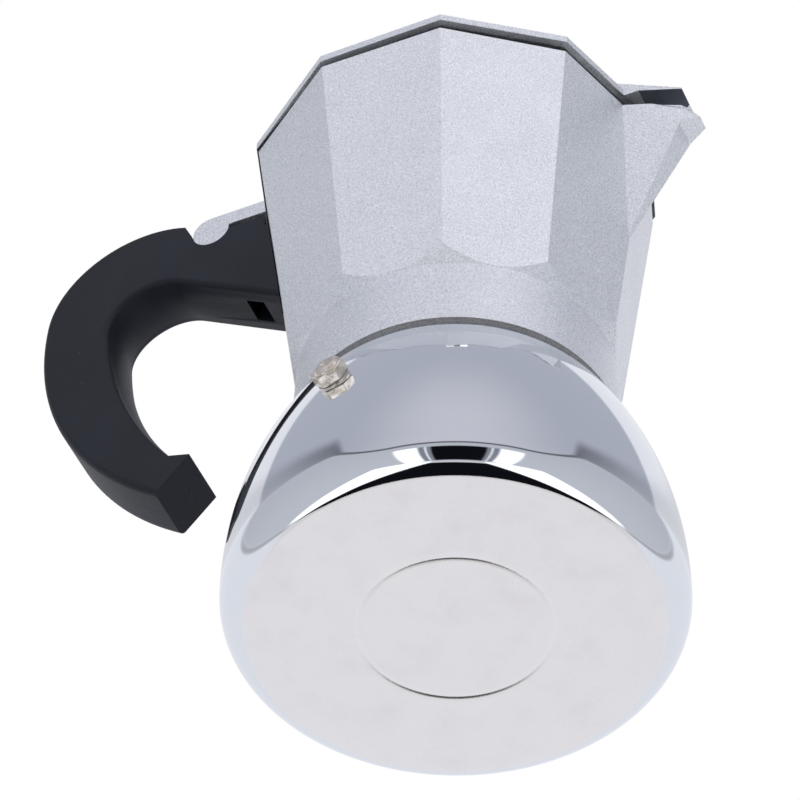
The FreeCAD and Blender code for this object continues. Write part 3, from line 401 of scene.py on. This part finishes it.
casting = {"angle": 14, "segments": 3, "chamberEdge": 0.7, "lidEdge": 0.35}
lip = {"start": 51.0, "end": 61.3, "level": 151.5, "drop": 1.9, "draw": 0.02}


def makeCasting(mesh, node, name, body, width):
    # a CAD casting with its sharp edges eased, as blasting leaves them
    piece = finishPiece(mesh, name, node, body, castingFinish, 12)
    softenEdges(piece, width, casting["angle"], casting["segments"])
    for polygon in piece.data.polygons:
        polygon.use_smooth = True
    return piece


def makeChamber():
    # the upper casting; the spout's lip dips towards its tip
    mesh = copyNode("upper_chamber")
    for corner in mesh.verts:
        share = min((corner.co.x / mm - lip["start"]) / (lip["end"] - lip["start"]), 1)
        if share > 0 and corner.co.z > lip["level"] * mm:
            corner.co -= Vector((lip["draw"], 0, lip["drop"])) * share * mm
    return makeCasting(mesh, "upper_chamber", "chamberCasting", "chamber",
                       casting["chamberEdge"])


nose = {"start": 51.2, "top": 155.9, "thin": 1.6, "halfWidth": 11.0, "skirt": 152.4, "far": 20.0,
        "tip": 60.0, "narrow": 0.3, "facesDown": -0.7}


def makeLid():
    # the lid; its nose thins over the spout, and its downward faces near the nose and rim get a dark
    # painted shade
    mesh = copyNode("lid")
    bmesh.ops.bisect_plane(mesh, geom=mesh.verts[:] + mesh.edges[:] + mesh.faces[:], dist=0.001 * mm,
                           plane_co=(nose["start"] * mm, 0, 0), plane_no=(1, 0, 0))
    for corner in mesh.verts:
        x, y, z = corner.co / mm
        if x > nose["start"] - 0.1 and z < nose["top"] and abs(y) < nose["halfWidth"]:
            corner.co.z += nose["thin"] * mm
            if x > nose["tip"] and y > 0:
                corner.co.y *= nose["narrow"]
    piece = makeCasting(mesh, "lid", "lidCasting", "lid", casting["lidEdge"])
    piece.data.materials.append(paintedShadeAluminium())
    # painted shade: faces that look down, low on the nose and rim, take the dark second material
    for polygon in piece.data.polygons:
        x, y, z = polygon.center / mm
        limit = nose["thin"] + (nose["top"] if x > nose["start"] else nose["skirt"])
        if polygon.normal.z < nose["facesDown"] and z < limit and y < nose["far"]:
            polygon.material_index = 1
    return piece


makeChamber()
makeLid()
print("chamber and lid")

grip = {"crook": (-78.3, 129.6), "crookArc": 12.6, "armAngle": 58.9, "innerStart": 184.0,
        "innerArc": 93.1, "innerEnd": 220.0, "crown": 1.15, "flat": 6.1,
        "cuts": (-5.2, -3.9, -2.6, -1.3, 0.0, 1.3, 2.6, 3.9, 5.2), "fade": (-66.0, -57.0), "near": 0.1}


def makeHandle():
    # the moulded hook, its inside crowned for the fingers
    use = grip
    mesh = copyNode("handle")
    for cut in use["cuts"]:
        bmesh.ops.bisect_plane(mesh, geom=mesh.verts[:] + mesh.edges[:] + mesh.faces[:], dist=0.001 * mm,
                               plane_co=(0, cut * mm, 0), plane_no=(0, 1, 0))
    crook = Vector(use["crook"])
    reach = use["crookArc"] - use["innerArc"]
    start = math.radians(use["innerStart"])
    inner = crook + Vector((reach * math.cos(start), reach * math.sin(start)))
    arm = Vector((math.cos(math.radians(use["armAngle"])), math.sin(math.radians(use["armAngle"]))))
    for corner in mesh.verts:
        spot = Vector((corner.co.x / mm, corner.co.z / mm))
        across = corner.co.y / mm
        if abs(across) > use["flat"]:
            continue
        lift = use["crown"] * (1 - (across / use["flat"]) ** 2)
        fromCrook, fromInner = spot - crook, spot - inner
        turn = math.degrees(math.atan2(fromCrook.y, fromCrook.x)) % 360
        sweep = math.degrees(math.atan2(fromInner.y, fromInner.x)) % 360
        onCrook = abs(fromCrook.length - use["crookArc"]) < use["near"]
        onInner = abs(fromInner.length - use["innerArc"]) < use["near"]
        onArm = abs(fromCrook.dot(arm) - use["crookArc"]) < use["near"]
        push = None
        if onCrook and use["armAngle"] - 1 < turn < use["innerStart"] + 1:
            push = -fromCrook.normalized()
        elif onInner and use["innerStart"] - 1 < sweep < use["innerEnd"]:
            push = -fromInner.normalized()
        elif onArm and spot.x > crook.x:
            share = (use["fade"][1] - spot.x) / (use["fade"][1] - use["fade"][0])
            push = -arm * min(max(share, 0), 1)
        if push:
            corner.co += Vector((push.x, 0, push.y)) * lift * mm
    return finishPiece(mesh, "handleHook", "handle", "chamber", handleFinish, 34)


makeHandle()
print("handle")


def makeFinePiece(node, name, body, material, width, smoothAngle):
    # a CAD piece with its sharp edges broken
    piece = finishPiece(copyNode(node), name, node, body, material, smoothAngle)
    softenEdges(piece, width, 30)
    return piece


makeFinePiece("valve_body", "valveHexagon", "boiler", nickelFinish, 0.28, 25)
makeFinePiece("lid_knob", "lidKnob", "lid", nylonFinish, 0.5, 30)
print("valve and knob")

view = {"azimuth": 23.966, "elevation": -47.301, "roll": 1.047, "distance": 0.98264, "lens": 186.87,
        "aim": (-0.01525, 0.00184, 0.08273)}


def placeCamera():
    azimuth, elevation, roll = (math.radians(view[key]) for key in ("azimuth", "elevation", "roll"))
    back = Vector((math.sin(azimuth) * math.cos(elevation), -math.cos(azimuth) * math.cos(elevation),
                   math.sin(elevation)))
    right = (-back).cross(Vector((0, 0, 1))).normalized()
    up = back.cross(right)
    turn = Matrix((right, up, back)).transposed() @ Matrix.Rotation(roll, 3, "Z")
    data = bpy.data.cameras.new("camera")
    data.lens = view["lens"]
    data.sensor_width = 36
    camera = bpy.data.objects.new("camera", data)
    place = Vector(view["aim"]) + back * view["distance"]
    camera.matrix_world = Matrix.Translation(place) @ turn.to_4x4()
    bpy.context.collection.objects.link(camera)
    bpy.context.scene.camera = camera


studio = {"front": 23.966, "ceiling": "#D5D5DD", "ceilingDeep": "#B9BCC8", "wall": "#F2F3F8",
          "gap": "#101116", "floor": "#E9E7E6", "haze": "#C4C7CF", "curtain": "#8A8E98",
          "lowWall": "#CDD0D7", "shadeBelow": "#3C4048", "shadeAbove": "#D9DEE8", "cardGain": 1.5}
times = {"operation": "MULTIPLY"}


def band(tree, value, low, high, soft):
    # 1 between low and high, 0 outside, with soft ends
    rising = addNode(tree, "MapRange", (value, low - soft, low + soft, 0.0, 1.0), **smooth)
    falling = addNode(tree, "MapRange", (value, high - soft, high + soft, 1.0, 0.0), **smooth)
    return addNode(tree, "Math", (rising, falling), **times)


def makeWorld():
    # a pale studio painted by direction, with its front towards the viewer: a grey-blue ceiling,
    # light walls, two lamps beside a dark stand, and a floor with two long light cards
    world = bpy.data.worlds.new("studio")
    bpy.context.scene.world = world
    world.use_nodes = True
    tree = world.node_tree
    shade = {key: linearColour(value) for key, value in studio.items() if str(value).startswith("#")}
    card = (studio["cardGain"],) * 3 + (1,)

    # bearing from the front and rise above level, in degrees
    direction = addNode(tree, "TexCoord", output="Generated")
    facing = math.radians(-studio["front"])
    turned = addNode(tree, "VectorRotate", {"Vector": direction, "Angle": facing}, rotation_type="Z_AXIS")
    across = addNode(tree, "SeparateXYZ", (turned,), "X")
    ahead = addNode(tree, "SeparateXYZ", (turned,), "Y")
    up = addNode(tree, "SeparateXYZ", (turned,), "Z")
    forward = addNode(tree, "Math", (ahead, -1.0), **times)
    aside = addNode(tree, "Math", (across,), operation="ABSOLUTE")
    angle = addNode(tree, "Math", (aside, forward), operation="ARCTAN2")
    bearing = addNode(tree, "Math", (angle,), operation="DEGREES")
    lean = addNode(tree, "Math", (up,), operation="ARCSINE")
    rise = addNode(tree, "Math", (lean,), operation="DEGREES")

    # ceiling: lighter near the front, white behind
    central = addNode(tree, "MapRange", (bearing, 4, 62, 1.0, 0.0), **smooth)
    short = addNode(tree, "MapRange", (rise, 50, 84, 1.0, 0.0), **smooth)
    near = addNode(tree, "Math", (central, short), **times)
    behind = addNode(tree, "MapRange", (forward, -0.3, -0.26, 1.0, 0.0), **smooth)
    lit = addNode(tree, "Mix", {0: near, 6: shade["ceilingDeep"], 7: shade["ceiling"]}, 2, **colours)
    lit = addNode(tree, "Mix", {0: behind, 6: lit, 7: shade["wall"]}, 2, **colours)

    # walls under a horizon that climbs to the sides
    horizon = addNode(tree, "MapRange", (bearing, 28, 66, 9, 47), **smooth)
    above = addNode(tree, "Math", (rise, horizon), operation="SUBTRACT")
    lower = addNode(tree, "MapRange", (above, -3, 1, 1.0, 0.0), **smooth)
    height = addNode(tree, "MapRange", (rise, -50, 40, 0.0, 1.0), **smooth)
    turnBack = addNode(tree, "MapRange", (forward, -0.3, -0.24, 1.0, 0.0), **smooth)
    wall = addNode(tree, "Mix", {0: height, 6: shade["lowWall"], 7: shade["haze"]}, 2, **colours)
    wall = addNode(tree, "Mix", {0: turnBack, 6: wall, 7: shade["wall"]}, 2, **colours)
    lit = addNode(tree, "Mix", {0: lower, 6: lit, 7: wall}, 2, **colours)

    # the dark seam between ceiling and wall, fading to the sides
    fading = addNode(tree, "MapRange", (bearing, 30, 112, 0.8, 0.2), **smooth)
    seam = addNode(tree, "Math", (band(tree, above, -2.5, 2.5, 2.0), fading), **times)
    climbing = addNode(tree, "MapRange", (rise, 0, 50, 0.45, 0.0))
    corner = addNode(tree, "Math", (band(tree, forward, -0.32, -0.27, 0.02), climbing), **times)
    seam = addNode(tree, "Math", (seam, corner), operation="MAXIMUM")
    lit = addNode(tree, "Mix", {0: seam, 6: lit, 7: shade["gap"]}, 2, **colours)

    # lamps, curtain, its fold and the dark stand, all at one height: colour, bearings and softness
    tall = band(tree, rise, -48, -4, 2.0)
    for colour, start, end, soft in ((card, 17.5, 27.5, 1.0), (shade["curtain"], -20, 17, 0.6),
                                     (shade["wall"], 13.6, 14.6, 0.4), (shade["gap"], -20, 11.8, 0.6)):
        place = addNode(tree, "Math", (tall, band(tree, bearing, start, end, soft)), **times)
        lit = addNode(tree, "Mix", {0: place, 6: lit, 7: colour}, 2, **colours)

    # floor, measured across and along from under the pot, with its cards and the gap between them
    ground = addNode(tree, "MapRange", (rise, -56, -50, 1.0, 0.0), **smooth)
    lit = addNode(tree, "Mix", {0: ground, 6: lit, 7: shade["floor"]}, 2, **colours)
    down = addNode(tree, "Math", (up, -1.0), **times)
    depth = addNode(tree, "Math", (down, 0.05), operation="MAXIMUM")
    floorAcross = addNode(tree, "Math", (aside, depth), operation="DIVIDE")
    floorAlong = addNode(tree, "Math", (forward, depth), operation="DIVIDE")
    slant = addNode(tree, "MapRange", (floorAlong, -0.4, 0.7, 0.5, 0.2))
    inner = addNode(tree, "Math", (floorAcross, slant), operation="SUBTRACT")
    outside = addNode(tree, "MapRange", (inner, -0.012, 0.012, 0.0, 1.0))
    width = addNode(tree, "Math", (outside, band(tree, floorAcross, -1.0, 0.74, 0.015)), **times)
    cards = addNode(tree, "Math", (band(tree, floorAlong, -0.3, 0.8, 0.03), width), **times)
    lit = addNode(tree, "Mix", {0: cards, 6: lit, 7: card}, 2, **colours)
    between = addNode(tree, "Math", (1.0, outside), operation="SUBTRACT")
    gap = addNode(tree, "Math", (band(tree, floorAlong, -0.42, 0.68, 0.03), between), **times)
    lit = addNode(tree, "Mix", {0: gap, 6: lit, 7: shade["gap"]}, 2, **colours)

    # soft light for matte surfaces, and a white backdrop
    climb = addNode(tree, "MapRange", (rise, -50, 20, 0.0, 1.0), **smooth)
    soft = addNode(tree, "Mix", {0: climb, 6: shade["shadeBelow"], 7: shade["shadeAbove"]}, 2, **colours)
    matte = addNode(tree, "LightPath", output="Is Diffuse Ray")
    seen = addNode(tree, "LightPath", output="Is Camera Ray")
    lit = addNode(tree, "Mix", {0: matte, 6: lit, 7: soft}, 2, **colours)
    lit = addNode(tree, "Mix", {0: seen, 6: lit, 7: linearColour("#FFFFFF")}, 2, **colours)
    tree.links.new(lit, tree.nodes["Background"].inputs["Color"])


lamps = {"left": {"bearing": -40, "rise": 34, "power": 1.0, "size": 0.7},
         "right": {"bearing": 32, "rise": 34, "power": 1.45, "size": 0.7},
         "low": {"bearing": -2, "rise": -12, "power": 0.5, "size": 0.3}}
stand = {"distance": 1.1, "wider": 1.3, "middle": 0.06, "aim": (0, 0, 0.11)}  # metres


def lightCastings():
    # soft key lights, shaded from the mirror-bright boiler so that it doesn't show them
    lit = bpy.data.collections.new("litByKeys")
    for item in bpy.data.objects:
        if item.type == "MESH" and item.name != "boilerShell":
            lit.objects.link(item)
    for side, lamp in lamps.items():
        data = bpy.data.lights.new(side + "Key", "AREA")
        data.shape = "RECTANGLE"
        data.size, data.size_y = stand["wider"] * lamp["size"], lamp["size"]
        data.energy = lamp["power"]
        turn = math.radians(view["azimuth"] + lamp["bearing"])
        lift = math.radians(lamp["rise"])
        flat = stand["distance"] * math.cos(lift)
        place = Vector((flat * math.sin(turn), -flat * math.cos(turn),
                        stand["distance"] * math.sin(lift) + stand["middle"]))
        aim = (Vector(stand["aim"]) - place).to_track_quat("-Z", "Y")
        light = bpy.data.objects.new(side + "Key", data)
        light.matrix_world = Matrix.Translation(place) @ aim.to_matrix().to_4x4()
        light.light_linking.receiver_collection = lit
        bpy.context.collection.objects.link(light)


backdrop = {"pale": "#EDEDEE", "deep": "#E4E4E5", "cloud": 60.0, "halfSize": 6.0, "below": 0.6}


def makeFloor():
    # a pale sweep just under the pot, seen from above only
    material, tree, shader = newMaterial("paleSweep", Roughness=0.85)
    place = addNode(tree, "TexCoord", output="Object")
    grain = addNode(tree, "TexNoise", {"Vector": place, "Scale": 1 / (backdrop["cloud"] * mm),
                                       "Detail": 3.0})
    colour = addNode(tree, "Mix", {0: grain, 6: linearColour(backdrop["deep"]),
                                   7: linearColour(backdrop["pale"])}, 2, **colours)
    tree.links.new(colour, shader.inputs["Base Color"])
    away = addNode(tree, "NewGeometry", output="Backfacing")
    clear = addNode(tree, "BsdfTransparent")
    mixed = addNode(tree, "MixShader", (away, shader.outputs[0], clear))
    tree.links.new(mixed, tree.nodes["Material Output"].inputs["Surface"])
    mesh = bmesh.new()
    bmesh.ops.create_grid(mesh, x_segments=4, y_segments=4, size=backdrop["halfSize"])
    bmesh.ops.translate(mesh, verts=mesh.verts, vec=(0, 0, -backdrop["below"] * mm))
    data = bpy.data.meshes.new("floor")
    mesh.to_mesh(data)
    mesh.free()
    floor = bpy.data.objects.new("floor", data)
    floor.data.materials.append(material)
    floor.visible_shadow = False
    floor.visible_diffuse = False
    floor.visible_glossy = False
    bpy.context.collection.objects.link(floor)


placeCamera()
makeWorld()
makeFloor()
lightCastings()
bpy.context.scene.view_settings.view_transform = "Standard"
print("view, studio and lights")
